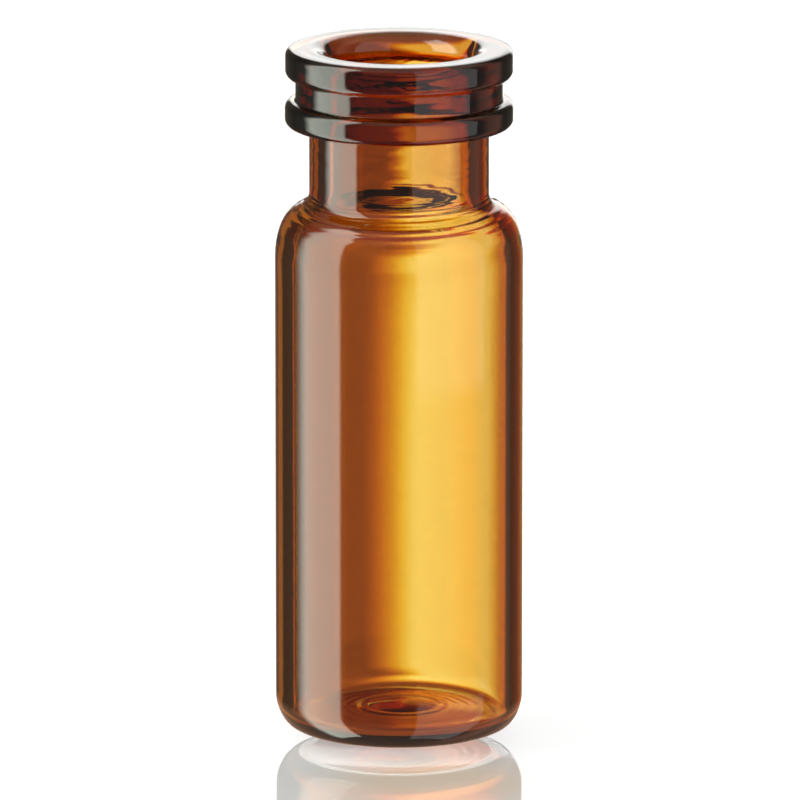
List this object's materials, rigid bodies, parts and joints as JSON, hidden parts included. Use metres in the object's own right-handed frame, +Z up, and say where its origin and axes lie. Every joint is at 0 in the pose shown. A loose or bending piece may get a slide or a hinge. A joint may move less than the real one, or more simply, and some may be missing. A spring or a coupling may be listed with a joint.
{
  "type": "glass sample vial",
  "caption": "Small round amber glass vial with a snap-ring crown, straight neck, rounded shoulder and a pushed-up base on a narrow foot ring.",
  "frame": {"origin": "centre of the foot ring, on the surface that the vial stands on", "axes": "+Z up the axis of the vial, out of its mouth; +X and +Y are free, as the vial is round"},
  "size_m": [0.0116, 0.0116, 0.0323],
  "materials": {
    "amber_glass": "clear, fire-polished, amber"
  },
  "bodies": {
    "root": {"vial": "amber_glass"}
  },
  "joints": []
}
